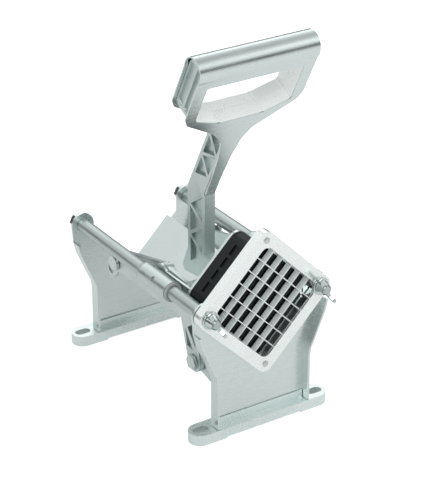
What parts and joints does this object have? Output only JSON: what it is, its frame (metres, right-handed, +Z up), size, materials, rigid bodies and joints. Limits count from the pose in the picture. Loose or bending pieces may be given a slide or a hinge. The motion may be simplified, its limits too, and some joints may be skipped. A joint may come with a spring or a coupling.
{
  "type": "vegetable dicer",
  "caption": "Lever-operated potato and vegetable dicer: a pusher on two guide rods drives food along a V trough through a square knife grid.",
  "frame": {"origin": "centre of the bounding box, on the underside of the feet", "axes": "+X to the right, +Y from the knife grid to the back, +Z up"},
  "size_m": [0.131, 0.2266, 0.3236],
  "materials": {
    "stainless_sheet": "brushed stainless sheet",
    "cast_aluminium": "tumbled casting",
    "bright_steel": "ground and polished",
    "black_plastic": "moulded, semi-matt",
    "grey_plastic": "moulded bearing plastic"
  },
  "bodies": {
    "stand": {"front_stand": "stainless_sheet", "front_foot": "cast_aluminium", "rear_stand": "stainless_sheet", "rear_foot": "cast_aluminium", "guide_rod_left": "bright_steel", "dome_nut_left": "bright_steel", "guide_rod_right": "bright_steel", "dome_nut_right": "bright_steel", "trough": "stainless_sheet", "knife_frame": "stainless_sheet", "knife_bar_upper_left": "stainless_sheet", "knife_bar_lower_right": "stainless_sheet", "knife_bar_upper_right": "stainless_sheet", "knife_bar_lower_left": "stainless_sheet", "blade_rising_1": "bright_steel", "blade_falling_1": "bright_steel", "blade_rising_2": "bright_steel", "blade_falling_2": "bright_steel", "blade_rising_3": "bright_steel", "blade_falling_3": "bright_steel", "blade_rising_4": "bright_steel", "blade_falling_4": "bright_steel", "blade_rising_5": "bright_steel", "blade_falling_5": "bright_steel", "frame_rivet_lower": "bright_steel", "frame_rivet_upper": "bright_steel", "wing_washer_left": "bright_steel", "wing_washer_right": "bright_steel", "pivot_ear_left": "cast_aluminium", "pivot_bolt_left": "bright_steel", "pivot_nut_left": "bright_steel", "ear_stud_left": "bright_steel", "pivot_ear_right": "cast_aluminium", "pivot_bolt_right": "bright_steel", "pivot_nut_right": "bright_steel", "ear_stud_right": "bright_steel"},
    "wing_nut_left": {"wing_nut_left": "bright_steel"},
    "wing_nut_right": {"wing_nut_right": "bright_steel"},
    "links": {"link_left": "cast_aluminium", "link_right": "cast_aluminium"},
    "carriage": {"slide_bushing_left": "cast_aluminium", "bushing_liner_left": "grey_plastic", "carriage_bracket_left": "stainless_sheet", "lever_pivot_left": "bright_steel", "slide_bushing_right": "cast_aluminium", "bushing_liner_right": "grey_plastic", "carriage_bracket_right": "stainless_sheet", "lever_pivot_right": "bright_steel", "pusher_block": "black_plastic", "pusher_plate": "stainless_sheet", "pusher_screw_left": "bright_steel", "pusher_screw_right": "bright_steel", "pusher_screw_lower": "bright_steel", "pusher_screw_upper": "bright_steel"},
    "lever": {"lever_casting": "cast_aluminium", "handle_shell": "stainless_sheet", "drive_pin_left": "bright_steel", "drive_pin_right": "bright_steel"}
  },
  "joints": [
    {"name": "carriage_slide", "type": "slide", "parent": "stand", "child": "carriage", "axis": [0, 1, 0], "range_m": [0, 0.0648]},
    {"name": "lever_swing", "type": "hinge", "parent": "carriage", "child": "lever", "pos_m": [0, -0.0148, 0.1126], "axis": [-1, 0, 0], "range_deg": [0, 75]},
    {"name": "link_swing", "type": "hinge", "parent": "stand", "child": "links", "pos_m": [0, -0.0738, 0.062], "axis": [-1, 0, 0], "range_deg": [0, 22.6]},
    {"name": "wing_nut_left_turn", "type": "hinge", "parent": "stand", "child": "wing_nut_left", "pos_m": [-0.0522, -0.1068, 0.1126], "axis": [0, 1, 0], "continuous": true},
    {"name": "wing_nut_right_turn", "type": "hinge", "parent": "stand", "child": "wing_nut_right", "pos_m": [0.0522, -0.1068, 0.1126], "axis": [0, 1, 0], "continuous": true}
  ],
  "couplings": [
    {"joint": "carriage_slide", "follows": "lever_swing", "m_per_rad": 0.049351},
    {"joint": "link_swing", "follows": "lever_swing", "ratio": 0.3004}
  ]
}
